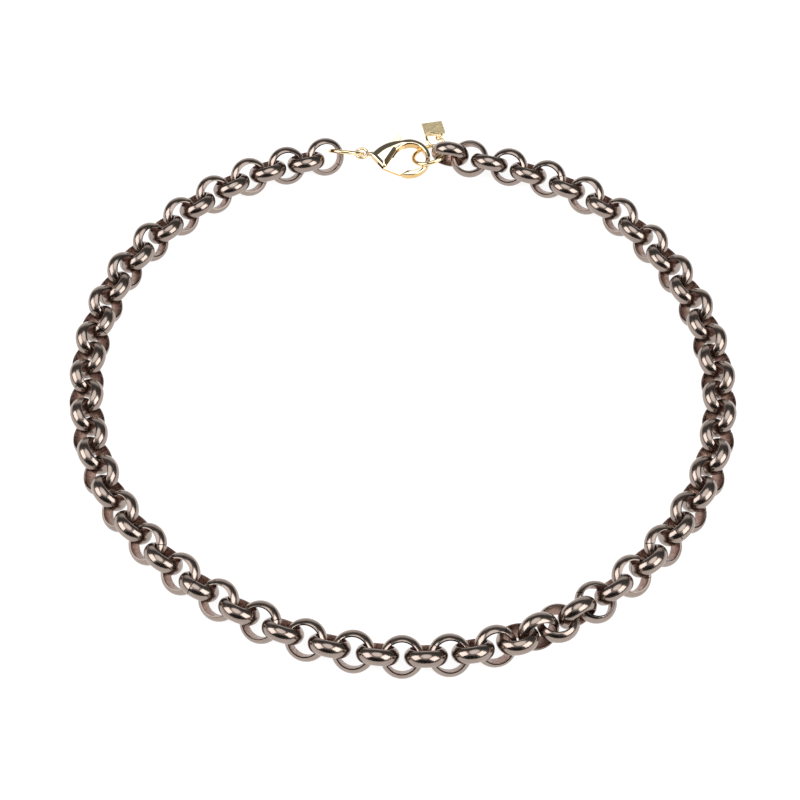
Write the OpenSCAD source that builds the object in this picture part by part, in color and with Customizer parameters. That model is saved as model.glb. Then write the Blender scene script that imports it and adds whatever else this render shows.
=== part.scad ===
// Rolo chain necklace with a lobster clasp, closed and laid on a table in a round loop.
// The table is z = 0, the clasp is at the back, +Y, and the origin is the middle of the loop.

/* [Chain links] */
// Number of links, an odd one so that both ends face the same way
link_count = 81; // [73:2:89]
// Outer diameter of a link
link_d = 9.4; // [9.1:0.1:10.4]
// Width of the flat wire that a link is bent from
wire_w = 3.5; // [3.2:0.05:3.6]
// Thickness of the wire, from the bore to the top of the dome
wire_t = 1.35; // [1.2:0.05:1.4]
// How much of that thickness the dome takes
dome_rise = 1.05; // [0.8:0.05:1.05]
// Bevel on the two edges of the bore
bore_bevel = 0.2; // [0.1:0.05:0.25]

/* [How the links lie] */
// Percent of its taut pitch that the lying chain gives up
slack = 8.3; // [7:0.1:11]
// Tilt from the table's normal of the links that face into the loop
lean_in = 50.5; // [48:0.5:53]
// Tilt from the table's normal of the links that face out of the loop
lean_out = 39; // [36:0.5:42]
// Link at the middle of the half-hidden quarter turn in the chain
twist_link = 47; // [42:1:52]
// Number of links that share this turn
twist_links = 10; // [10:1:14]
// Extra turn of the last link, which hangs on its ring
last_turn = 32.5; // [30:0.5:35]
// Most that a link lies below its neighbour
hang = 0.3; // [0.2:0.05:0.4]

/* [Jump rings] */
// Outer diameter of the two large jump rings
ring_d = 9.2; // [9:0.1:10]
// Wire of the large jump rings
ring_wire = 1; // [0.8:0.05:1.1]
// Slack between a large ring and the link that it holds
ring_slack = 1.8; // [1.6:0.1:2]
// Outer diameter of the tag's ring
tag_ring_d = 6.6; // [6.5:0.1:6.7]
// Wire of the tag's ring
tag_ring_wire = 0.6; // [0.5:0.05:0.7]

/* [Clasp] */
// Depth of the clasp's body at its middle
claw_depth = 2.6; // [2.3:0.1:3]
// Depth of the clasp's body at its thin edges
claw_edge = 1.5; // [1.2:0.1:1.8]
// Outer radius of the hook
hook_r = 5.2; // [5:0.1:5.5]
// Radius of the mouth
mouth_r = 3.8; // [3.6:0.1:3.9]
// Outer diameter of the clasp's eye
eye_d = 3.4; // [3.2:0.1:3.6]
// Wire of the eye
eye_wire = 0.7; // [0.6:0.05:0.75]
// Thickness of the lever
lever_t = 0.9; // [0.7:0.05:1]
// Diameter of the lever's pin
pin_d = 0.9; // [0.8:0.05:1]

/* [Tag] */
// Width of the square plate
tag_w = 5.2; // [4.6:0.1:5.6]
// Height of the square plate
tag_h = 4.9; // [4.4:0.1:5.6]
// Thickness of the plate
tag_t = 0.45; // [0.35:0.05:0.6]
// Outer diameter of the ear that the ring passes through
ear_d = 2.4; // [2.3:0.05:2.5]

/* [Hidden] */
$fn = 48;

// Route of the chain's centre line, seen from above: 21 places, from the clasp's left
// round the front to its right, with as many links between each two.
route = [[-18.5, 70.5], [-37, 64], [-53, 51.5], [-65.5, 34.5], [-71.5, 14], [-71, -7.5], [-64.5, -28],
         [-51.5, -45], [-34.5, -58], [-15, -66.5], [5.5, -69], [25, -65], [42, -56], [57.5, -41.5],
         [68.5, -23.5], [73, -2.5], [71, 18.5], [63, 38.5], [49.5, 55], [31.5, 65.5], [12.4, 71.1]];

// Wire section of a link
bore_r = link_d / 2 - wire_t;
half_w = wire_w / 2;
dome_r = (dome_rise * dome_rise + half_w * half_w) / (2 * dome_rise);
dome_reach = asin(half_w / dome_r);

// Pitch at which the corners of neighbouring bores would touch
taut_pitch = 2 * sqrt(bore_r * bore_r - half_w * half_w);
link_pitch = taut_pitch * (1 - slack / 100);

// Large rings
ring_mid = (ring_d - ring_wire) / 2;
ring_bore = ring_mid - ring_wire / 2;
ring_reach = bore_r + ring_bore - ring_slack;

// Catmull-Rom curve through the route's places; u runs from 0 to 1
function stop(k) = k < 0 ? 2 * route[0] - route[1]
    : k >= len(route) ? 2 * route[len(route) - 1] - route[len(route) - 2] : route[k];
function curve(a, b, c, d, t) =
    0.5 * (2 * b + (c - a) * t + (2 * a - 5 * b + 4 * c - d) * t * t
           + (-a + 3 * b - 3 * c + d) * t * t * t);
function route_at(u) = let (k = min(floor(u * (len(route) - 1)), len(route) - 2))
    curve(stop(k - 1), stop(k), stop(k + 1), stop(k + 2), u * (len(route) - 1) - k);
function share(i) = (i - 1) / (link_count - 1);
function run(i) = i < 2 ? 0 : norm(route_at(share(i)) - route_at(share(i - 1))) + run(i - 1);
function on_route(i) = route_at(share(i)) * (link_count - 1) * link_pitch / run(link_count);

// The clasp and its rings, measured from the first link's centre along +X
first = on_route(1);
// How far behind the first link the clasp's line lies
clasp_back = 1.95;
// How far the large rings' faces tip over, and towards which side
clasp_ring_tip = 49;
clasp_ring_side = 83;
end_ring_tip = 23.8;
end_ring_side = 128;
function ring_rest(mid, wire, tip) = mid * sin(tip) + wire / 2;
clasp_ring_at = [first.x + ring_reach, first.y + clasp_back,
                 ring_rest(ring_mid, ring_wire, clasp_ring_tip)];

// Eye, hanging on the ring's far side
eye_mid = (eye_d - eye_wire) / 2;
eye_play = 0.2;
eye_back = 0.35;
eye_at = clasp_ring_at + [(ring_mid - eye_play) * sin(clasp_ring_side),
                          eye_back - (ring_mid - eye_play) * cos(clasp_ring_side), -eye_play];

// How the clasp's flat body lies
claw_tilt = 9;
claw_turn = -5;
hook_lift = 3.25;
hook_x = 11.8;
hook_y = -0.65;
claw_slope = asin((eye_at.z - hook_lift) / hook_x);

// Places on the clasp in its own plane, from the eye's centre
hook_c = [hook_x, hook_y];
mouth_c = hook_c + [0.4, -0.05];
shoulder_r = 8.6;
shoulder_c = [10.2, -4.6];
neck_h = 0.9;
neck_x = 2.6;
cheek_x = 4.2;
corner = [5.6, -3.9];
throat_end = corner + [0.7, 0.2];
pin_c = [6, 0.5];

// Clearances of the lever
pin_gap = 0.05;
slot_gap = 0.1;
tip_gap = 0.2;
lever_hub = 1.5;
lever_reach = 7.35;

// Ring on the last link, held up by the hook and centred near the hook's far end
end_ring_lift = 1.4;
end_ring_off = [-0.25, -0.75];
end_ring_at = [eye_at.x + hook_x + hook_r + end_ring_off.x,
               eye_at.y + end_ring_off.y,
               ring_rest(ring_mid, ring_wire, end_ring_tip) + end_ring_lift];
last_front = 0.57;
last_at = [end_ring_at.x + ring_reach, end_ring_at.y - last_front];

// Ring of the tag, round the end ring's far side
tag_ring_mid = (tag_ring_d - tag_ring_wire) / 2;
tag_ring_tip = 35.2;
tag_ring_turn = 14;
tag_ring_off = [1.78, 1.47];
tag_ring_at = [end_ring_at.x + tag_ring_off.x,
               end_ring_at.y + ring_mid + tag_ring_off.y,
               ring_rest(tag_ring_mid, tag_ring_wire, tag_ring_tip)];
// Where along its ring the ear hangs, from straight back
ear_angle = 35;
ear_on_ring = tag_ring_mid * [sin(ear_angle) * cos(tag_ring_tip), cos(ear_angle),
                              -sin(ear_angle) * sin(tag_ring_tip)];
ear_at = tag_ring_at
    + [ear_on_ring.x * cos(tag_ring_turn) - ear_on_ring.y * sin(tag_ring_turn),
       ear_on_ring.x * sin(tag_ring_turn) + ear_on_ring.y * cos(tag_ring_turn), ear_on_ring.z];
ear_drop = 0.8;
ear_side = 0.8;
ear_wire = 0.5;
ear_mid = (ear_d - ear_wire) / 2;
// The ear is turned against the plate so that it faces along its ring
ear_twist = 45;
tag_turn = 11;
tag_slope = asin((ear_at.z - tag_t / 2) / (tag_h + ear_drop));

// The chain's ends meet the rings, and what that takes is shared out along it
closing = last_at - on_route(link_count);
function link_xy(i) = on_route(i) + share(i) * closing;

// The whole is centred over the origin
tag_back = ear_at.y + (tag_w / 2 - ear_side) * sin(tag_turn)
    + ((ear_drop + tag_h) * cos(tag_slope) + tag_t / 2 * sin(tag_slope)) * cos(tag_turn);
function reach(i, axis) =
    (link_d / 2 - dome_r) * sqrt(1 - pow(link_face(i)[axis], 2)) + dome_r;
low_x = min([for (i = [1:link_count]) link_xy(i).x - reach(i, 0)]);
high_x = max([for (i = [1:link_count]) link_xy(i).x + reach(i, 0)]);
low_y = min([for (i = [1:link_count]) link_xy(i).y - reach(i, 1)]);
centre = [(low_x + high_x) / 2, (low_y + tag_back) / 2, 0];

// Heading of the chain at a link, and the roll of the link about it:
// 0 faces out of the loop, 90 up and 180 into the loop
function beside(i) = i < 1 ? [clasp_ring_at.x, clasp_ring_at.y]
    : i > link_count ? [end_ring_at.x, end_ring_at.y] : link_xy(i);
function heading(i) = let (d = beside(i + 1) - beside(i - 1)) atan2(d.y, d.x);
function smooth(t) = t <= 0 ? 0 : t >= 1 ? 1 : t * t * (3 - 2 * t);
function twist(i) = 90 * smooth((i - twist_link) / twist_links + 0.5);
function end_turn(i) = last_turn * max(0, 1 - (link_count - i) / 3);
function roll(i) = (i % 2 == 1 ? 90 + lean_in : 90 - lean_out) - twist(i) - end_turn(i);
function link_face(i) = [cos(roll(i)) * sin(heading(i)), -cos(roll(i)) * cos(heading(i)), sin(roll(i))];

// Height of a leaning link's centre when it rests on the table, and as its neighbours hold it
function rest_z(a) = let (c = abs(cos(a)), s = abs(sin(a)))
    atan2(s, c) <= dome_reach ? (link_d / 2 - dome_r) * c + dome_r
        : (link_d / 2 - dome_rise) * c + half_w * s;
function link_z(i) = max([for (k = [max(1, i - 5):min(link_count, i + 5)])
    rest_z(roll(k)) - abs(k - i) * hang]);

module wire_section() {
    intersection() {
        translate([link_d / 2 - dome_r, 0]) circle(r = dome_r);
        polygon([[bore_r, bore_bevel - half_w], [bore_r + bore_bevel, -half_w], [link_d / 2, -half_w],
                 [link_d / 2, half_w], [bore_r + bore_bevel, half_w], [bore_r, half_w - bore_bevel]]);
    }
}

module link(i) {
    translate([link_xy(i).x, link_xy(i).y, link_z(i)] - centre)
        rotate([0, 0, heading(i)])
            rotate([90 - roll(i), 0, 0])
                rotate_extrude() wire_section();
}

module links(from, to) {
    color("#8e7d74") for (i = [from:to]) link(i);
}

half_count = ceil(link_count / 2);

module chain_left() {
    links(1, half_count);
}

module chain_right() {
    links(half_count + 1, link_count);
}

module wire_ring(mid, wire) {
    rotate_extrude() translate([mid, 0]) circle(r = wire / 2);
}

module clasp_ring() {
    color("#d8c08a") translate(clasp_ring_at - centre)
        rotate([0, clasp_ring_tip, clasp_ring_side]) wire_ring(ring_mid, ring_wire);
}

module end_ring() {
    color("#d8c08a") translate(end_ring_at - centre)
        rotate([0, end_ring_tip, end_ring_side]) wire_ring(ring_mid, ring_wire);
}

module tag_ring() {
    color("#d8c08a") translate(tag_ring_at - centre)
        rotate([0, tag_ring_tip, tag_ring_turn]) wire_ring(tag_ring_mid, tag_ring_wire);
}

// Puts what is drawn in the clasp's own plane where the clasp lies
module as_clasp_lies() {
    translate(eye_at - centre) rotate([0, 0, claw_turn]) rotate([claw_tilt, 0, 0])
        rotate([0, claw_slope, 0]) children();
}

// Body of the clasp in its own plane, without its slot
module claw_outline() {
    difference() {
        union() {
            translate(hook_c) circle(r = hook_r);
            intersection() {
                translate(shoulder_c) circle(r = shoulder_r);
                polygon([[neck_x, -neck_h / 2], corner, throat_end, hook_c,
                         [hook_c.x, hook_c.y + hook_r + 1], [neck_x, hook_c.y + hook_r + 1]]);
            }
            translate([eye_mid, -neck_h / 2]) square([neck_x + 1 - eye_mid, neck_h]);
        }
        translate(mouth_c) circle(r = mouth_r);
        throat();
    }
}

// The part of the mouth that narrows towards the corner, and the gap that the lever closes
module throat() {
    polygon([throat_end, pin_c + [1.6, -1.4], pin_c + [2.6, 0.7],
             pin_c + [3.8, 2], mouth_c + [0, mouth_r - 0.5], mouth_c + [0, -1], pin_c + [5, -4.6]]);
    intersection() {
        translate(pin_c) circle(r = lever_reach + tip_gap);
        polygon([throat_end, pin_c + [1.6, -1.4], mouth_c,
                 hook_c - [0, hook_r + 1], corner - [0, 3]]);
    }
}

// Where the lever works: open at the back for its tab and at the front for its gate
module slot_outline() {
    polygon([[cheek_x, corner.y - 1], [pin_c.x + 4.4, corner.y - 1], [pin_c.x + 4.4, hook_c.y + hook_r + 1],
             [cheek_x, hook_c.y + hook_r + 1]]);
}

// Two shallow domes that make the body thinner towards its edges
module claw_pillow() {
    bulge = (claw_depth - claw_edge) / 2;
    half_l = hook_r + 1;
    dome = (bulge * bulge + half_l * half_l) / (2 * bulge);
    translate([hook_c.x - 1.8, hook_c.y, 0]) intersection() {
        translate([0, 0, claw_depth / 2 - dome]) sphere(r = dome, $fn = 200);
        translate([0, 0, dome - claw_depth / 2]) sphere(r = dome, $fn = 200);
    }
}

module clasp_claw() {
    color("#cbb27c") as_clasp_lies() {
        difference() {
            intersection() {
                translate([0, 0, -claw_depth / 2]) linear_extrude(claw_depth) claw_outline();
                claw_pillow();
            }
            translate([0, 0, -lever_t / 2 - slot_gap]) linear_extrude(lever_t + 2 * slot_gap)
                slot_outline();
        }
        wire_ring(eye_mid, eye_wire);
        translate([eye_mid, -neck_h / 2, -eye_wire / 2]) cube([neck_x + 1 - eye_mid, neck_h, eye_wire]);
        translate([pin_c.x, pin_c.y, -claw_edge / 2]) cylinder(d = pin_d, h = claw_edge);
    }
}

// From the lever's hub down to the hook's tip
module gate_outline() {
    intersection() {
        translate(pin_c) circle(r = lever_reach);
        polygon([pin_c + [-0.9, -0.5], corner + [-0.1, 0.3], corner + [0.2, -0.3], pin_c + [2.2, -5.6],
                 pin_c + [5, -6.5], pin_c + [6.3, -4.8], pin_c + [3.6, -3.7], pin_c + [2.1, -2.2],
                 pin_c + [1, -0.2]]);
    }
}

// From the hub out behind the clasp, for the thumb
module tab_outline() {
    polygon([pin_c + [-0.6, 0.7], pin_c + [1.6, 4.2], pin_c + [2, 5], pin_c + [3.3, 6],
             pin_c + [3.9, 5.9], pin_c + [3.8, 4.8], pin_c + [2.3, 2], pin_c + [1, 0.2]]);
}

module lever_plate() {
    translate([0, 0, -lever_t / 2]) linear_extrude(lever_t) children();
}

module clasp_lever() {
    color("#d8c08a") as_clasp_lies() difference() {
        union() {
            lever_plate() translate(pin_c) circle(r = lever_hub);
            lever_plate() gate_outline();
            lever_plate() tab_outline();
        }
        translate([pin_c.x, pin_c.y, -lever_t]) cylinder(d = pin_d + 2 * pin_gap, h = 2 * lever_t);
    }
}

module tag() {
    color("#d6c08e") translate(ear_at - centre) rotate([0, 0, tag_turn]) rotate([-tag_slope, 0, 0]) {
        rotate([0, -ear_twist, 0]) wire_ring(ear_mid, ear_wire);
        translate([-tag_w / 2 - ear_side, ear_drop, -tag_t / 2]) cube([tag_w, tag_h, tag_t]);
    }
}

chain_left();
chain_right();
clasp_claw();
clasp_lever();
clasp_ring();
end_ring();
tag_ring();
tag();
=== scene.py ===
import math

import bmesh
import bpy
import numpy as np
from mathutils import Matrix, Vector


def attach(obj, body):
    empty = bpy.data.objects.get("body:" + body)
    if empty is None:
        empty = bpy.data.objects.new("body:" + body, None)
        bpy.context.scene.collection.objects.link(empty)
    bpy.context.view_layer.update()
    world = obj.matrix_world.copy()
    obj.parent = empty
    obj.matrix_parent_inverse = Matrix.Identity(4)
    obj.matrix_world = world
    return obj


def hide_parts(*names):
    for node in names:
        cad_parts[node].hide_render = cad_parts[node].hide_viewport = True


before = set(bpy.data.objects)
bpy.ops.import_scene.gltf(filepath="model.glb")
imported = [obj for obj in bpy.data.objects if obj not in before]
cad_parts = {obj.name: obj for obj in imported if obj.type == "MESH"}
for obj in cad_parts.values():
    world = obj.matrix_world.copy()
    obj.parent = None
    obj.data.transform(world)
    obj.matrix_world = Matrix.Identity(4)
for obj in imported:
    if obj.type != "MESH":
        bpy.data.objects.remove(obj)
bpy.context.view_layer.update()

# Sizes are in millimetres and angles in degrees, except where a comment says otherwise.

MM = 0.001                       # one millimetre in metres
ON_PLANE = 1e-4                  # a point nearer than this to a plane lies on it
MERGED = 1e-6                    # in metres, the same for two vertices of a CAD node
PAST = 1                         # how far a cutting plate reaches past what it cuts
TINY = 1e-12                     # keeps an edge without length from dividing by zero
SIDEWAYS = 0.5                   # a face whose normal rises less than this is a side

EASE_STEPS = 3                   # faces across an eased edge
RING_CREASE = 32                 # the sharpest edge that is still shaded smooth, on spun wire
CASTING_CREASE = 40              # on the casting
PLATE_CREASE = 35                # on the lever and the tag

# The chain's links.
LINK_OD = 9.4                    # across the link
LINK_WIDTH = 3.5                 # along the link's axis
LINK_WALL = 1.35                 # crown to bore
LINK_DOME = 1.05                 # rise of the domed outside
BORE_BEVEL = 0.05                # the eased edges of the bore
RIM_BEVEL = 0.02                 # the eased edges of the dome
RIM_STEPS = 2                    # faces across them
DOME_SIDES = 40                  # faces of the full circle that the dome is cut from
LINK_STEPS = 86                  # faces round a link
LINK_SEAM = 0.2                  # width of its butt seam
LINK_SEAM_FLOOR = 0.72           # size of the section in the seam's floor, as a share
BORE_MARGIN = 0.02               # a face this near the bore's radius belongs to the bore
SIDE_MARGIN = 0.04               # and one this near the full width to the flat side

# Where each seam that shows lies, by the link's number, from the link's highest point round.
SEAM_AT = {
    15: 55, 16: 310, 19: 50, 28: 305, 31: 0, 32: 30, 33: 60, 34: 300, 38: 50, 40: 35,
    42: 45, 44: 320, 49: 30, 53: 40, 54: 320, 74: 45, 76: 300,
}
SEAM_HIDDEN = (262, 225)         # of a link that faces upwards, and of one between them

# The jump rings: radius to the middle of the wire, the wire, faces round the ring and the wire.
LARGE_RING = (4.1, 1.0, 96, 20)
SMALL_RING = (3.0, 0.6, 72, 16)
RING_SEAM = 0.06                 # width of a ring's butt seam
RING_SEAM_FLOOR = 0.8            # size of the wire in the seam's floor, as a share
RING_SEAM_AT = 180               # turned down to the floor

# The clasp, measured in its own plane from the middle of its eye.
CLASP_EYE = (-9.996, 65.996, 3.394)      # where that middle lies
CLASP_TURNS = (-5, 9, 0.7)               # about Z, then X, then Y, each as the last leaves it
EYE_MID = 1.35                           # radius to the middle of the eye's wire
EYE_WIRE = 0.7
EYE_STEPS = (64, 20)                     # faces round the eye and round its wire
NECK_TIP = 0.4                           # the neck's radius at the eye
NECK_ROOT = 0.92                         # and where it meets the body
NECK_END = 3.7
NECK_Y = -0.1
BODY_START = (2.1, -0.3)                 # where the body begins, behind the neck
CORNER = (5.6, -3.9)                     # the body's front corner, at the gate's root
THROAT_END = (6.3, -3.7)
SHOULDER = (10.2, -4.6)                  # the centre of the arc of the body's back
SHOULDER_R = 8.6
HOOK = (11.8, -0.65)                     # the centre of the hook's outer circle
HOOK_R = 5.2
MOUTH = (12.2, -0.7)                     # the centre of its inner circle
MOUTH_R = 3.8
CLAW_DEPTH = 2.6                         # the body's depth in its middle
CLAW_EDGE = 1.8                          # and at its edges
CLAW_VOXEL = 0.12                        # grain of the casting's surface
CLAW_WORN = (0.5, 6)                     # strength and passes of the rounding of its edges
CLAW_SPARE = 0.06                        # what that rounding takes off
BACK_SLOPE = 1.45                        # width of the sloping border along its back
FRONT_SLOPE = 1.05                       # along its front
THROAT_SLOPE = 1.15                      # along the throat
MOUTH_SLOPE = 0.4                        # and round the mouth
THROAT = ((1.6, -1.4), (2.6, 0.7), (3.8, 2))     # the throat's inner edge, from the pin
THROAT_CORNER = (5, -4.6)                # and its open front, from the pin
THROAT_TOP = 0.5                         # how far it stays under the mouth's highest point
THROAT_LOW = 1                           # and reaches under the mouth's middle
SLOT_SPAN = (4.2, 10.4)                  # the slot for the lever, left and right
SLOT_GAP = 0.1                           # its play on each side of the lever
TIP_GAP = 0.2                            # between the gate's tip and the hook

# The lever, with its corners given from the pin, or from the body's front corner.
PIN = (6, 0.5)
PIN_D = 0.9
PIN_PLAY = 0.05                          # between the pin and the hole round it
HUB_R = 1.5
LEVER_T = 0.9
LEVER_REACH = 7.35                       # pin to the gate's tip
LEVER_EASE = 0.2                         # rounding of its edges
GATE_START = ((-0.9, -0.5),)
GATE_CORNER = ((-0.1, 0.3), (0.2, -0.3))         # these two from the body's front corner
GATE_END = ((2.2, -5.6), (5, -6.5), (6.3, -4.8), (3.6, -3.7), (2.1, -2.2), (1, -0.2))
THUMB_TAB = (
    (-0.6, 0.7), (1.3, 4.2), (1.6, 4.9), (2.6, 5.85), (3.3, 5.9), (3.45, 5), (2.1, 2), (1, 0.2),
)
DISC_SIDES = 96                          # faces round a large drum
HOLE_SIDES = 48                          # round the lever's hole
ROD_SIDES = 32                           # round the pin and the neck
SIDE_FACING = 0.8                        # a face that leans further off the plane is a side

# The tag, measured in its own plane from the middle of its ear.
TAG_EAR = (9.304, 73.541, 1.037)         # where that middle lies
TAG_TURNS = (11, -8.19)                  # about Z, then X
TAG_SIZE = (5.2, 4.9, 0.45)
TAG_MIDDLE = (-0.8, 3.25)
TAG_EASE = 0.09                          # rounding of its edges
TAG_RIM = 0.35                           # the polished rim round each struck face
TAG_SINK = 0.05                          # how far that face lies below the rim
TAG_STRUCK = 0.03                        # depth of the hammering
TAG_CUTS = 21                            # cuts across a face, for marks of about 0.2 mm
TAG_SEED = 5                             # fixes where the marks fall
EAR_MID = 0.95                           # radius to the middle of the ear's wire
EAR_WIRE = 0.5
EAR_STEPS = (48, 16)                     # faces round the ear and round its wire
EAR_TWIST = -45                          # how far the ear is turned against the plate


def deselect():
    """Leaves nothing selected, because an operator acts on all that is."""
    if bpy.context.object and bpy.context.object.mode != "OBJECT":
        bpy.ops.object.mode_set(mode="OBJECT")
    bpy.ops.object.select_all(action="DESELECT")


def only(obj):
    """Selects one object and makes it the active one."""
    deselect()
    obj.select_set(True)
    bpy.context.view_layer.objects.active = obj


def joined(obj, other):
    """Joins another object to the first, as one piece."""
    only(obj)
    other.select_set(True)
    bpy.ops.object.join()
    return obj


def pick(obj, test, kind="VERT"):
    """In edit mode, selects the vertices, edges or faces whose middle passes the test."""
    bpy.ops.mesh.select_mode(type=kind)
    bpy.ops.mesh.select_all(action="DESELECT")
    mesh = bmesh.from_edit_mesh(obj.data)
    if kind == "VERT":
        for vert in mesh.verts:
            vert.select = test(vert.co)
    elif kind == "EDGE":
        for edge in mesh.edges:
            edge.select = test((edge.verts[0].co + edge.verts[1].co) / 2)
    else:
        for face in mesh.faces:
            face.select = test(face.calc_center_median())
    mesh.select_flush_mode()
    bmesh.update_edit_mesh(obj.data)


def solids(name):
    """The centre and axis of each solid of a CAD node, the axis being where it is thinnest."""
    mesh = bmesh.new()
    mesh.from_mesh(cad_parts[name].data)
    bmesh.ops.remove_doubles(mesh, verts=mesh.verts, dist=MERGED)
    seen, found = set(), []
    for start in mesh.verts:
        if start in seen:
            continue
        seen.add(start)
        corners, waiting = [], [start]
        while waiting:
            vert = waiting.pop()
            corners.append(vert.co.copy())
            for edge in vert.link_edges:
                other = edge.other_vert(vert)
                if other not in seen:
                    seen.add(other)
                    waiting.append(other)
        points = np.array(corners)
        centre = points.mean(0)
        directions = np.linalg.eigh(np.cov((points - centre).T))[1]
        found.append((Vector(centre), Vector(directions[:, 0])))
    mesh.free()
    return found


def along_chain(found):
    """The solids of a chain node in order, counted from the clasp round by the left."""
    return sorted(
        found,
        key=lambda solid: math.atan2(solid[0].x, solid[0].y) % (2 * math.pi),
        reverse=True,
    )


def standing(centre, axis, seam):
    """The matrix that sets a ring modelled round Z, seam at +X, on its centre and axis."""
    if axis.z < 0:
        axis = -axis
    top = (Vector((0, 0, 1)) - axis * axis.z).normalized()
    side = axis.cross(top)
    turn = math.radians(seam)
    to_seam = top * math.cos(turn) + side * math.sin(turn)
    across = axis.cross(to_seam)
    basis = Matrix((to_seam, across, axis)).transposed().to_4x4()
    return Matrix.Translation(centre) @ basis @ Matrix.Scale(MM, 4)


def spun(obj, steps, seam, floor_share, middle):
    """Spins the section in edit mode round Z, and closes it with a butt seam at +X.

    The seam is given in radians. Its floor is the section shrunk round its middle.
    """
    bpy.ops.mesh.select_all(action="SELECT")
    bpy.ops.mesh.spin(
        steps=steps, angle=2 * math.pi - seam, center=(0, 0, 0), axis=(0, 0, 1)
    )
    for turn in (0, -seam):
        radial = Vector((math.cos(turn), math.sin(turn), 0))
        flat = Vector((-math.sin(turn), math.cos(turn), 0))
        pick(obj, lambda co: abs(co.dot(flat)) < ON_PLANE and co.dot(radial) > 0, "EDGE")
        bpy.ops.mesh.extrude_region_move()
        bpy.ops.transform.resize(value=(floor_share,) * 3, center_override=radial * middle)
    bpy.ops.mesh.select_mode(type="EDGE")
    bpy.ops.mesh.select_all(action="DESELECT")
    mesh = bmesh.from_edit_mesh(obj.data)
    for edge in mesh.edges:
        edge.select = edge.is_boundary
    bmesh.update_edit_mesh(obj.data)
    bpy.ops.mesh.bridge_edge_loops()
    bpy.ops.mesh.select_all(action="SELECT")
    bpy.ops.mesh.normals_make_consistent(inside=False)
    bpy.ops.object.mode_set(mode="OBJECT")
    obj.data.transform(Matrix.Rotation(seam / 2, 4, "Z"))
    bpy.ops.object.shade_smooth_by_angle(angle=math.radians(RING_CREASE))


def link_blank():
    """One link: a domed section with a flat bore, spun round Z."""
    outer = LINK_OD / 2
    bore = outer - LINK_WALL
    rim = outer - LINK_DOME
    half = LINK_WIDTH / 2
    crown = (half**2 + LINK_DOME**2) / (2 * LINK_DOME)
    deselect()
    bpy.ops.mesh.primitive_circle_add(
        vertices=DOME_SIDES, radius=crown, fill_type="NGON", rotation=(math.pi / 2, 0, 0)
    )
    obj = bpy.context.object
    bpy.ops.object.transform_apply()
    bpy.ops.object.mode_set(mode="EDIT")
    bpy.ops.mesh.select_all(action="SELECT")
    bpy.ops.transform.translate(value=(outer - crown, 0, 0))
    bpy.ops.mesh.bisect(plane_co=(rim, 0, 0), plane_no=(1, 0, 0), clear_inner=True)

    def flat_of_dome(co):
        return abs(co.x - rim) < ON_PLANE and abs(co.z) < ON_PLANE

    pick(obj, flat_of_dome, "EDGE")
    bpy.ops.mesh.extrude_region_move(
        TRANSFORM_OT_translate={"value": (bore - rim, 0, 0)}
    )
    pick(obj, flat_of_dome, "EDGE")
    bpy.ops.mesh.dissolve_edges(use_verts=False)
    pick(obj, lambda co: abs(co.x - bore) < ON_PLANE)
    bpy.ops.mesh.bevel(offset=BORE_BEVEL, segments=EASE_STEPS, affect="VERTICES")
    pick(obj, lambda co: abs(co.x - rim) < ON_PLANE)
    bpy.ops.mesh.bevel(offset=RIM_BEVEL, segments=RIM_STEPS, affect="VERTICES")
    bpy.ops.mesh.select_all(action="SELECT")
    bpy.ops.mesh.delete(type="ONLY_FACE")
    spun(obj, LINK_STEPS, LINK_SEAM / outer, LINK_SEAM_FLOOR, (bore + outer) / 2)
    return obj


def ring_blank(mid, wire, steps, sides):
    """One jump ring of round wire, spun round Z."""
    deselect()
    bpy.ops.mesh.primitive_circle_add(
        vertices=sides, radius=wire / 2, rotation=(math.pi / 2, 0, 0)
    )
    obj = bpy.context.object
    bpy.ops.object.transform_apply()
    bpy.ops.object.mode_set(mode="EDIT")
    bpy.ops.mesh.select_all(action="SELECT")
    bpy.ops.transform.translate(value=(mid, 0, 0))
    spun(obj, steps, RING_SEAM / mid, RING_SEAM_FLOOR, mid)
    return obj


def laid(blank, name, places):
    """Copies of a blank at their places, joined into one piece. Each copy has its own mesh."""
    copies = []
    for place in places:
        copy = bpy.data.objects.new(name, blank.data.copy())
        copy.data.transform(place)
        bpy.context.scene.collection.objects.link(copy)
        copies.append(copy)
    deselect()
    for copy in copies:
        copy.select_set(True)
    bpy.context.view_layer.objects.active = copies[0]
    if len(copies) > 1:
        bpy.ops.object.join()
    piece = bpy.context.object
    piece.name = name
    return piece


def turned(about_z, about_x, about_y=0):
    """A turn about Z, then about the X that this leaves, then about the Y."""
    return (
        Matrix.Rotation(math.radians(about_z), 4, "Z")
        @ Matrix.Rotation(math.radians(about_x), 4, "X")
        @ Matrix.Rotation(math.radians(about_y), 4, "Y")
    )


def lying(origin, turn):
    """The matrix from a plane of its own, in millimetres, to where a small part lies."""
    return Matrix.Scale(MM, 4) @ Matrix.Translation(origin) @ turn


def moved(origin, points):
    """Plane points that are given from an origin."""
    return [(origin[0] + x, origin[1] + y) for x, y in points]


def disc(place, radius, depth, sides=DISC_SIDES):
    """A flat drum in the clasp's plane."""
    deselect()
    bpy.ops.mesh.primitive_cylinder_add(
        vertices=sides, radius=radius, depth=depth, location=(*place, 0)
    )
    bpy.ops.object.transform_apply()
    return bpy.context.object


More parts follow.
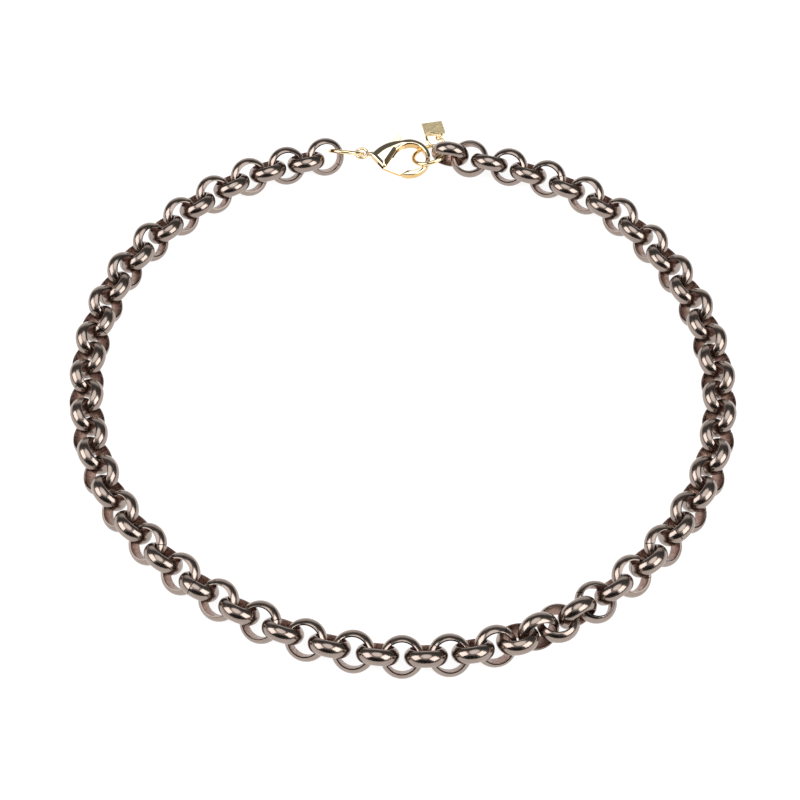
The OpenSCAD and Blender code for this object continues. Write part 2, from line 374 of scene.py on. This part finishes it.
def plate(points, depth):
    """A flat plate in the clasp's plane: a circle with its corners moved, then extruded."""
    deselect()
    bpy.ops.mesh.primitive_circle_add(vertices=len(points), radius=1, fill_type="NGON")
    obj = bpy.context.object
    for vert, point in zip(obj.data.vertices, points):
        vert.co = (*point, -depth / 2)
    bpy.ops.object.mode_set(mode="EDIT")
    bpy.ops.mesh.select_all(action="SELECT")
    bpy.ops.mesh.extrude_region_move(TRANSFORM_OT_translate={"value": (0, 0, depth)})
    bpy.ops.mesh.select_all(action="SELECT")
    bpy.ops.mesh.normals_make_consistent(inside=False)
    bpy.ops.object.mode_set(mode="OBJECT")
    return obj


def cut(obj, tool, operation):
    """Joins, cuts or crosses a solid with another, which is used up."""
    only(obj)
    boolean = obj.modifiers.new("cut", "BOOLEAN")
    boolean.operation, boolean.object, boolean.solver = operation, tool, "EXACT"
    bpy.ops.object.modifier_apply(modifier=boolean.name)
    bpy.data.objects.remove(tool)
    return obj


def outline_of(obj, height):
    """The edges round a flat top at that height, as pairs of plane points."""
    mesh = bmesh.new()
    mesh.from_mesh(obj.data)
    found = []
    for edge in mesh.edges:
        on_top = all(vert.co.z > height - ON_PLANE for vert in edge.verts)
        if on_top and any(abs(face.normal.z) < SIDEWAYS for face in edge.link_faces):
            found.append([vert.co.xy.copy() for vert in edge.verts])
    mesh.free()
    return np.array(found)


def from_outline(points, outline):
    """How far plane points lie from the nearest edge of an outline."""
    nearest = np.full(len(points), np.inf)
    for start, end in outline:
        edge = end - start
        along = np.clip((points - start) @ edge / max(edge @ edge, TINY), 0, 1)
        away = np.linalg.norm(points - start - along[:, None] * edge, axis=1)
        nearest = np.minimum(nearest, away)
    return nearest


def claw_outline():
    """The clasp's body as a flat plate: its curved back, the hook, the mouth and the throat."""
    top = HOOK[1] + HOOK_R + PAST
    body = disc(SHOULDER, SHOULDER_R + CLAW_SPARE, CLAW_DEPTH)
    kept = [BODY_START, CORNER, THROAT_END, HOOK, (HOOK[0], top), (BODY_START[0], top)]
    cut(body, plate(kept, CLAW_DEPTH + PAST), "INTERSECT")
    cut(body, disc(HOOK, HOOK_R + CLAW_SPARE, CLAW_DEPTH), "UNION")
    cut(body, disc(MOUTH, MOUTH_R - CLAW_SPARE, CLAW_DEPTH + PAST), "DIFFERENCE")
    inner_edge = moved(PIN, THROAT)
    throat = [
        THROAT_END, *inner_edge, (MOUTH[0], MOUTH[1] + MOUTH_R - THROAT_TOP),
        (MOUTH[0], MOUTH[1] - THROAT_LOW), *moved(PIN, [THROAT_CORNER]),
    ]
    cut(body, plate(throat, CLAW_DEPTH + PAST), "DIFFERENCE")
    opening = disc(PIN, LEVER_REACH + TIP_GAP, CLAW_DEPTH + PAST)
    wedge = [
        THROAT_END, inner_edge[0], MOUTH,
        (HOOK[0], HOOK[1] - HOOK_R - PAST), (CORNER[0], CORNER[1] - 3 * PAST),
    ]
    cut(opening, plate(wedge, CLAW_DEPTH + 2 * PAST), "INTERSECT")
    return cut(body, opening, "DIFFERENCE")


def claw_body():
    """The clasp's body as a casting: full depth in the middle, sloping to thinner eased edges."""
    body = claw_outline()
    outline = outline_of(body, CLAW_DEPTH / 2)
    middle = outline.mean(1)
    outer = (
        (np.linalg.norm(middle - HOOK, axis=1) > HOOK_R)
        | (np.linalg.norm(middle - SHOULDER, axis=1) > SHOULDER_R)
        | (middle[:, 0] < CORNER[0])
    )
    behind = middle[:, 1] > HOOK[1]
    mouth = np.linalg.norm(middle - MOUTH, axis=1) < MOUTH_R
    only(body)
    casting = body.modifiers.new("casting", "REMESH")
    casting.mode, casting.voxel_size = "VOXEL", CLAW_VOXEL
    bpy.ops.object.modifier_apply(modifier=casting.name)
    points = np.array([vert.co for vert in body.data.vertices])
    rise = np.ones(len(points))
    for edges, width in (
        (outline[outer & behind], BACK_SLOPE),
        (outline[outer & ~behind], FRONT_SLOPE),
        (outline[~outer & ~mouth], THROAT_SLOPE),
        (outline[~outer & mouth], MOUTH_SLOPE),
    ):
        rise = np.minimum(rise, from_outline(points[:, :2], edges) / width)
    points[:, 2] *= (CLAW_EDGE + (CLAW_DEPTH - CLAW_EDGE) * rise) / CLAW_DEPTH
    body.data.vertices.foreach_set("co", points.ravel())
    polish = body.modifiers.new("polished edges", "SMOOTH")
    polish.factor, polish.iterations = CLAW_WORN
    bpy.ops.object.modifier_apply(modifier=polish.name)
    return body


def clasp_claw():
    """The body with its slot, pin, neck and eye."""
    body = claw_body()
    left, right = SLOT_SPAN
    top, low = HOOK[1] + HOOK_R + PAST, CORNER[1] - PAST
    slot = [(left, low), (right, low), (right, top), (left, top)]
    cut(body, plate(slot, LEVER_T + 2 * SLOT_GAP), "DIFFERENCE")
    deselect()
    bpy.ops.mesh.primitive_cone_add(
        vertices=ROD_SIDES, radius1=NECK_TIP, radius2=NECK_ROOT, depth=NECK_END - EYE_MID,
        location=((NECK_END + EYE_MID) / 2, NECK_Y, 0), rotation=(0, math.pi / 2, 0),
    )
    bpy.ops.object.transform_apply()
    cut(body, bpy.context.object, "UNION")
    cut(body, disc(PIN, PIN_D / 2, CLAW_EDGE, ROD_SIDES), "UNION")
    only(body)
    bpy.ops.object.shade_smooth_by_angle(angle=math.radians(CASTING_CREASE))
    eye = ring_blank(EYE_MID, EYE_WIRE, *EYE_STEPS)
    eye.data.transform(Matrix.Rotation(math.pi, 4, "Z"))
    joined(body, eye)
    body.data.transform(lying(CLASP_EYE, turned(*CLASP_TURNS)))
    body.name = "claw_cast"
    return body


def clasp_lever():
    """The sprung lever: hub, gate and thumb tab of one plate, with eased edges."""
    corners = moved(PIN, GATE_START) + moved(CORNER, GATE_CORNER) + moved(PIN, GATE_END)
    lever = plate(corners, LEVER_T)
    cut(lever, disc(PIN, LEVER_REACH, LEVER_T + PAST), "INTERSECT")
    cut(lever, plate(moved(PIN, THUMB_TAB), LEVER_T), "UNION")
    cut(lever, disc(PIN, HUB_R, LEVER_T), "UNION")
    cut(lever, disc(PIN, PIN_D / 2 + PIN_PLAY, LEVER_T + PAST, HOLE_SIDES), "DIFFERENCE")
    only(lever)
    eased = lever.modifiers.new("eased edges", "BEVEL")
    eased.width, eased.segments, eased.limit_method = LEVER_EASE, EASE_STEPS, "ANGLE"
    eased.angle_limit = math.radians(PLATE_CREASE)
    bpy.ops.object.modifier_apply(modifier=eased.name)
    bpy.ops.object.shade_smooth_by_angle(angle=math.radians(PLATE_CREASE))
    flat_faces = lever.modifiers.new("flat faces", "WEIGHTED_NORMAL")
    flat_faces.keep_sharp = True
    bpy.ops.object.modifier_apply(modifier=flat_faces.name)
    lever.data.transform(lying(CLASP_EYE, turned(*CLASP_TURNS)))
    lever.name = "lever_plate"
    return lever


def tag_plate():
    """The tag: a square plate with eased edges and a struck face on each side."""
    deselect()
    bpy.ops.mesh.primitive_cube_add(size=1, location=(*TAG_MIDDLE, 0), scale=TAG_SIZE)
    obj = bpy.context.object
    bpy.ops.object.transform_apply()
    bpy.ops.object.mode_set(mode="EDIT")
    bpy.ops.mesh.select_all(action="SELECT")
    bpy.ops.mesh.bevel(offset=TAG_EASE, segments=EASE_STEPS, affect="EDGES")
    face_height = TAG_SIZE[2] / 2 - ON_PLANE
    for side in (1, -1):
        pick(obj, lambda co: side * co.z > face_height, "FACE")
        bpy.ops.mesh.inset(thickness=TAG_RIM)
        bpy.ops.transform.translate(value=(0, 0, -side * TAG_SINK))
        bpy.ops.mesh.inset(thickness=TAG_SINK)
        bpy.ops.mesh.subdivide(number_cuts=TAG_CUTS)
        bpy.ops.transform.vertex_random(offset=TAG_STRUCK, normal=1.0, seed=TAG_SEED)
    bpy.ops.object.mode_set(mode="OBJECT")
    bpy.ops.object.shade_smooth_by_angle(angle=math.radians(PLATE_CREASE))
    return obj


def tag_with_ear():
    """The plate with the ear soldered to its edge, in its place."""
    body = tag_plate()
    body.data.materials.append(gold_tag)
    ear = ring_blank(EAR_MID, EAR_WIRE, *EAR_STEPS)
    ear.data.materials.append(gold_wire)
    into_plate = Matrix.Rotation(math.pi / 2, 4, "Z")
    ear.data.transform(Matrix.Rotation(math.radians(EAR_TWIST), 4, "Y") @ into_plate)
    joined(body, ear)
    body.data.transform(lying(TAG_EAR, turned(*TAG_TURNS)))
    body.name = "tag_struck"
    return body


def colour(code):
    """Linear red, green, blue and alpha of an sRGB hex colour."""
    parts = [int(code[i : i + 2], 16) / 255 for i in (1, 3, 5)]
    parts = [p / 12.92 if p <= 0.04045 else ((p + 0.055) / 1.055) ** 2.4 for p in parts]
    return (*parts, 1)


def node(tree, kind, settings=None, links=None):
    """Adds a node with its settings, by socket or property name, and what feeds its sockets."""
    added = tree.nodes.new(kind)
    for name, value in (settings or {}).items():
        if isinstance(name, int) or name in added.inputs:
            added.inputs[name].default_value = value
        else:
            setattr(added, name, value)
    for name, source in (links or {}).items():
        tree.links.new(source, added.inputs[name])
    return added


def new_material(name):
    """An empty procedural material and its tree."""
    material = bpy.data.materials.new(name)
    material.use_nodes = True
    material.node_tree.nodes.clear()
    return material, material.node_tree


DRIFT_MM = 2.5                   # over which the plating's tone changes, a quarter of a link
DRIFT_DETAIL = 3.0
GRAIN_DETAIL = 4.0
GRAIN_SPAN = (0.35, 0.65)        # the noise values between which most of the grain lies
GRAIN_DEPTH = 0.02               # height of the grain's relief at full strength
MIX_DARK, MIX_LIGHT, MIX_RESULT = 6, 7, 2        # the colour sockets of a Mix node


def plated(name, light, dark, rough, grain_mm, bump):
    """A plated metal: two tones that drift along the piece, and the grain of its finish.

    Real polishing marks are some 0.01 to 0.05 mm wide, and a pixel covers about 0.23 mm. So
    they are too fine to show, and grain_mm draws each finish as coarse as it needs to show.
    """
    material, tree = new_material(name)
    place = node(tree, "ShaderNodeTexCoord").outputs["Object"]
    drift = node(
        tree,
        "ShaderNodeTexNoise",
        {"Scale": 1 / (DRIFT_MM * MM), "Detail": DRIFT_DETAIL},
        {"Vector": place},
    )
    grain = node(
        tree,
        "ShaderNodeTexNoise",
        {"Scale": 1 / (grain_mm * MM), "Detail": GRAIN_DETAIL},
        {"Vector": place},
    )
    tone = node(
        tree,
        "ShaderNodeMix",
        {"data_type": "RGBA", MIX_DARK: colour(dark), MIX_LIGHT: colour(light)},
        {"Factor": drift.outputs["Fac"]},
    )
    roughness = node(
        tree,
        "ShaderNodeMapRange",
        {
            "From Min": GRAIN_SPAN[0],
            "From Max": GRAIN_SPAN[1],
            "To Min": rough[0],
            "To Max": rough[1],
        },
        {"Value": grain.outputs["Fac"]},
    )
    relief = node(
        tree,
        "ShaderNodeBump",
        {"Strength": bump, "Distance": GRAIN_DEPTH * MM},
        {"Height": grain.outputs["Fac"]},
    )
    shader = node(
        tree,
        "ShaderNodeBsdfPrincipled",
        {"Metallic": 1.0},
        {
            "Base Color": tone.outputs[MIX_RESULT],
            "Roughness": roughness.outputs["Result"],
            "Normal": relief.outputs["Normal"],
        },
    )
    node(tree, "ShaderNodeOutputMaterial", links={"Surface": shader.outputs["BSDF"]})
    return material


# Brass plated in gunmetal grey and tumbled. It gives the domes a dim, warm mirror: lights show
# as bands with slightly soft ends, and all between them is nearly black.
gunmetal = plated(
    "gunmetal_plated_brass_tumbled",
    light="#A6978E", dark="#8A7C74", rough=(0.1, 0.27), grain_mm=0.14, bump=0.2,
)
# The same plating in the bores, where the tumbling doesn't reach. It looks rosy brown, blotchy
# and half dull, with marks of the drawn wire.
gunmetal_bore = plated(
    "gunmetal_plated_brass_unpolished",
    light="#A98D81", dark="#8A6B5F", rough=(0.16, 0.5), grain_mm=0.5, bump=0.6,
)
# The same on the link's narrow flat sides, with painted shade: a darker tone than the rest of the
# link.
# They are its smoothest part, and show sharp reflections.
gunmetal_side_painted_shade = plated(
    "gunmetal_plated_brass_side_painted_shade",
    light="#7E736C", dark="#665B55", rough=(0.03, 0.1), grain_mm=0.3, bump=0.05,
)
# Brass plated in pale gold and polished, on the clasp's two faces. A pale mirror, nearly white
# under the light and dark brown beside it.
gold = plated(
    "pale_gold_plated_brass_polished",
    light="#FBEFD6", dark="#F5E0B8", rough=(0.03, 0.08), grain_mm=0.5, bump=0.04,
)
# The same plating on drawn wire. Each ring shows a fine bright line with warm yellow edges.
gold_wire = plated(
    "pale_gold_plated_brass_wire",
    light="#F5E3BA", dark="#EACD98", rough=(0.05, 0.14), grain_mm=0.5, bump=0.04,
)
# The same on the clasp's sides, with a painted reflection: a deeper, darker yellow that stands in
# for the warm plating beside them, which the sides mirror. They are a little softer than the
# faces.
gold_edge_painted_reflection = plated(
    "pale_gold_plated_brass_sides_painted_reflection",
    light="#E9CB92", dark="#CFA468", rough=(0.08, 0.2), grain_mm=0.5, bump=0.1,
)
# The same on the struck tag. Its many small dents spread the light, so it looks matte and
# grainy, with no clear reflection.
gold_tag = plated(
    "pale_gold_plated_brass_matte",
    light="#FFF3D0", dark="#E9D09A", rough=(0.35, 0.7), grain_mm=0.45, bump=1.0,
)

# The chain: one link, its three surfaces each in their own finish, laid where each solid is.
link = link_blank()
finishes = (gunmetal, gunmetal_bore, gunmetal_side_painted_shade)
for finish in finishes:
    link.data.materials.append(finish)
bore_reach = LINK_OD / 2 - LINK_WALL + BORE_MARGIN
side_height = LINK_WIDTH / 2 - SIDE_MARGIN
for face in link.data.polygons:
    if face.center.xy.length < bore_reach:
        face.material_index = finishes.index(gunmetal_bore)
    # The flat sides get the darker copy: painted shade.
    elif abs(face.center.z) > side_height:
        face.material_index = finishes.index(gunmetal_side_painted_shade)
number = 0
for side in ("left", "right"):
    places = []
    for centre, axis in along_chain(solids(f"chain_{side}")):
        number += 1
        seam = SEAM_AT.get(number, SEAM_HIDDEN[number % 2])
        places.append(standing(centre, axis, seam))
    piece = laid(link, f"links_{side}", places)
    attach(piece, "necklace")
    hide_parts(f"chain_{side}")
bpy.data.objects.remove(link)

# The jump rings.
large_ring = ring_blank(*LARGE_RING)
small_ring = ring_blank(*SMALL_RING)
for blank in (large_ring, small_ring):
    blank.data.materials.append(gold_wire)
for name, blank in (
    ("clasp_ring", large_ring),
    ("end_ring", large_ring),
    ("tag_ring", small_ring),
):
    centre, axis = solids(name)[0]
    piece = laid(blank, f"{name}_wire", [standing(centre, axis, RING_SEAM_AT)])
    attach(piece, "necklace")
    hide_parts(name)
bpy.data.objects.remove(large_ring)
bpy.data.objects.remove(small_ring)

# The clasp: pale gold on its two faces, and a deeper gold, a painted reflection, on all that
# leans away from them.
face_up = turned(*CLASP_TURNS).to_3x3().col[2]
for piece, body, replaced in (
    (clasp_claw(), "necklace", "clasp_claw"),
    (clasp_lever(), "lever", "clasp_lever"),
):
    piece.data.materials.clear()
    piece.data.materials.append(gold)
    piece.data.materials.append(gold_edge_painted_reflection)
    for face in piece.data.polygons:
        # Faces that lean off the plane get the deeper gold: a painted reflection.
        face.material_index = int(abs(face.normal.dot(face_up)) < SIDE_FACING)
    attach(piece, body)
    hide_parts(replaced)

tag = tag_with_ear()
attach(tag, "necklace")
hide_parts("tag")

# The stage: matt white paper. It glows, so it looks white all over, with hardly a shadow.
WHITE = (1, 1, 1, 1)
PAPER_SIZE = 3                   # metres
PAPER_GLOW = 0.9
paper, tree = new_material("white_sweep_paper_matte")
shader = node(
    tree,
    "ShaderNodeBsdfPrincipled",
    {
        "Base Color": colour("#8C8C8C"),
        "Roughness": 0.9,
        "Emission Color": WHITE,
        "Emission Strength": PAPER_GLOW,
    },
)
node(tree, "ShaderNodeOutputMaterial", links={"Surface": shader.outputs["BSDF"]})
deselect()
bpy.ops.mesh.primitive_plane_add(size=PAPER_SIZE, location=(0, 0, 0))
floor = bpy.context.object
floor.name = "floor"
floor.data.materials.append(paper)

# The studio, as brightness by direction. Each smooth step has the axis that it reads, the
# values between which it changes, and the brightness at both. Y points away from the camera.
STUDIO_STEPS = {
    "room": ("Y", -0.7, 0.0, 0.015, 0.1),        # dim, and darkest on the camera's side
    "paper": ("Y", 0.7, 0.95, 0, 0.8),           # the paper that rises behind the necklace
    "paper_top": ("Z", 0.32, 0.6, 1, 0),         # and where it ends
    "scrim": ("Z", 0.895, 0.925, 0, 1.9),        # a bright scrim straight above
    "ceiling": ("Y", -0.45, -0.2, 0.4, 0),       # the ceiling above the camera
    "ceiling_edge": ("Z", 0.65, 0.82, 0, 1),     # and where it begins
}
STUDIO_SUMS = (
    ("rising_paper", "MULTIPLY", "paper", "paper_top"),
    ("high_ceiling", "MULTIPLY", "ceiling", "ceiling_edge"),
    ("around", "ADD", "room", "rising_paper"),
    ("above", "ADD", "scrim", "high_ceiling"),
    ("all", "ADD", "around", "above"),
)
world = bpy.data.worlds.new("studio")
bpy.context.scene.world = world
world.use_nodes = True
studio = world.node_tree
studio.nodes.clear()
direction = node(studio, "ShaderNodeTexCoord").outputs["Generated"]
axes = node(studio, "ShaderNodeSeparateXYZ", links={"Vector": direction}).outputs
brightness = {}
for name, (axis, low, high, start, end) in STUDIO_STEPS.items():
    step = {
        "interpolation_type": "SMOOTHSTEP",
        "From Min": low, "From Max": high, "To Min": start, "To Max": end,
    }
    brightness[name] = node(
        studio, "ShaderNodeMapRange", step, {"Value": axes[axis]}
    ).outputs["Result"]
for name, operation, first, second in STUDIO_SUMS:
    brightness[name] = node(
        studio,
        "ShaderNodeMath",
        {"operation": operation},
        {0: brightness[first], 1: brightness[second]},
    ).outputs["Value"]
lit = node(
    studio, "ShaderNodeBackground", {"Color": WHITE}, {"Strength": brightness["all"]}
)
backdrop = node(studio, "ShaderNodeBackground", {"Color": WHITE, "Strength": 1.0})
seen = node(studio, "ShaderNodeLightPath").outputs["Is Camera Ray"]
both = node(
    studio,
    "ShaderNodeMixShader",
    links={0: seen, 1: lit.outputs["Background"], 2: backdrop.outputs["Background"]},
)
node(studio, "ShaderNodeOutputWorld", links={"Surface": both.outputs["Shader"]})
bpy.context.scene.view_settings.view_transform = "Standard"

# The softboxes: degrees round from the camera's side and up, metres wide and high, and watts.
SOFTBOXES = {
    "softbox_left": (-77, 35, 0.8, 0.75, 6.4),
    "softbox_right": (58, 36, 0.75, 0.75, 6.6),
}
SOFTBOX_AWAY = 1.0               # metres from the necklace
for name, (azimuth, elevation, width, height, watts) in SOFTBOXES.items():
    level = math.cos(math.radians(elevation))
    outwards = Vector((
        math.sin(math.radians(azimuth)) * level,
        -math.cos(math.radians(azimuth)) * level,
        math.sin(math.radians(elevation)),
    ))
    light = bpy.data.lights.new(name, "AREA")
    light.shape, light.size, light.size_y, light.energy = "RECTANGLE", width, height, watts
    lamp = bpy.data.objects.new(name, light)
    lamp.location = outwards * SOFTBOX_AWAY
    lamp.rotation_euler = (-outwards).to_track_quat("-Z", "Y").to_euler()
    bpy.context.scene.collection.objects.link(lamp)

# The camera: place and clipping in metres, degrees below level, and the lens in millimetres.
CAMERA_AT = (-0.0005155, -0.30453, 0.42588)
CAMERA_DOWN = 55
CAMERA_LENS, CAMERA_SENSOR = 101.43, 36
CAMERA_CLIP = (0.05, 10)
view = bpy.data.cameras.new("camera")
view.lens, view.sensor_width = CAMERA_LENS, CAMERA_SENSOR
view.clip_start, view.clip_end = CAMERA_CLIP
camera = bpy.data.objects.new("camera", view)
camera.location = CAMERA_AT
camera.rotation_euler = (math.radians(90 - CAMERA_DOWN), 0, 0)
bpy.context.scene.collection.objects.link(camera)
bpy.context.scene.camera = camera
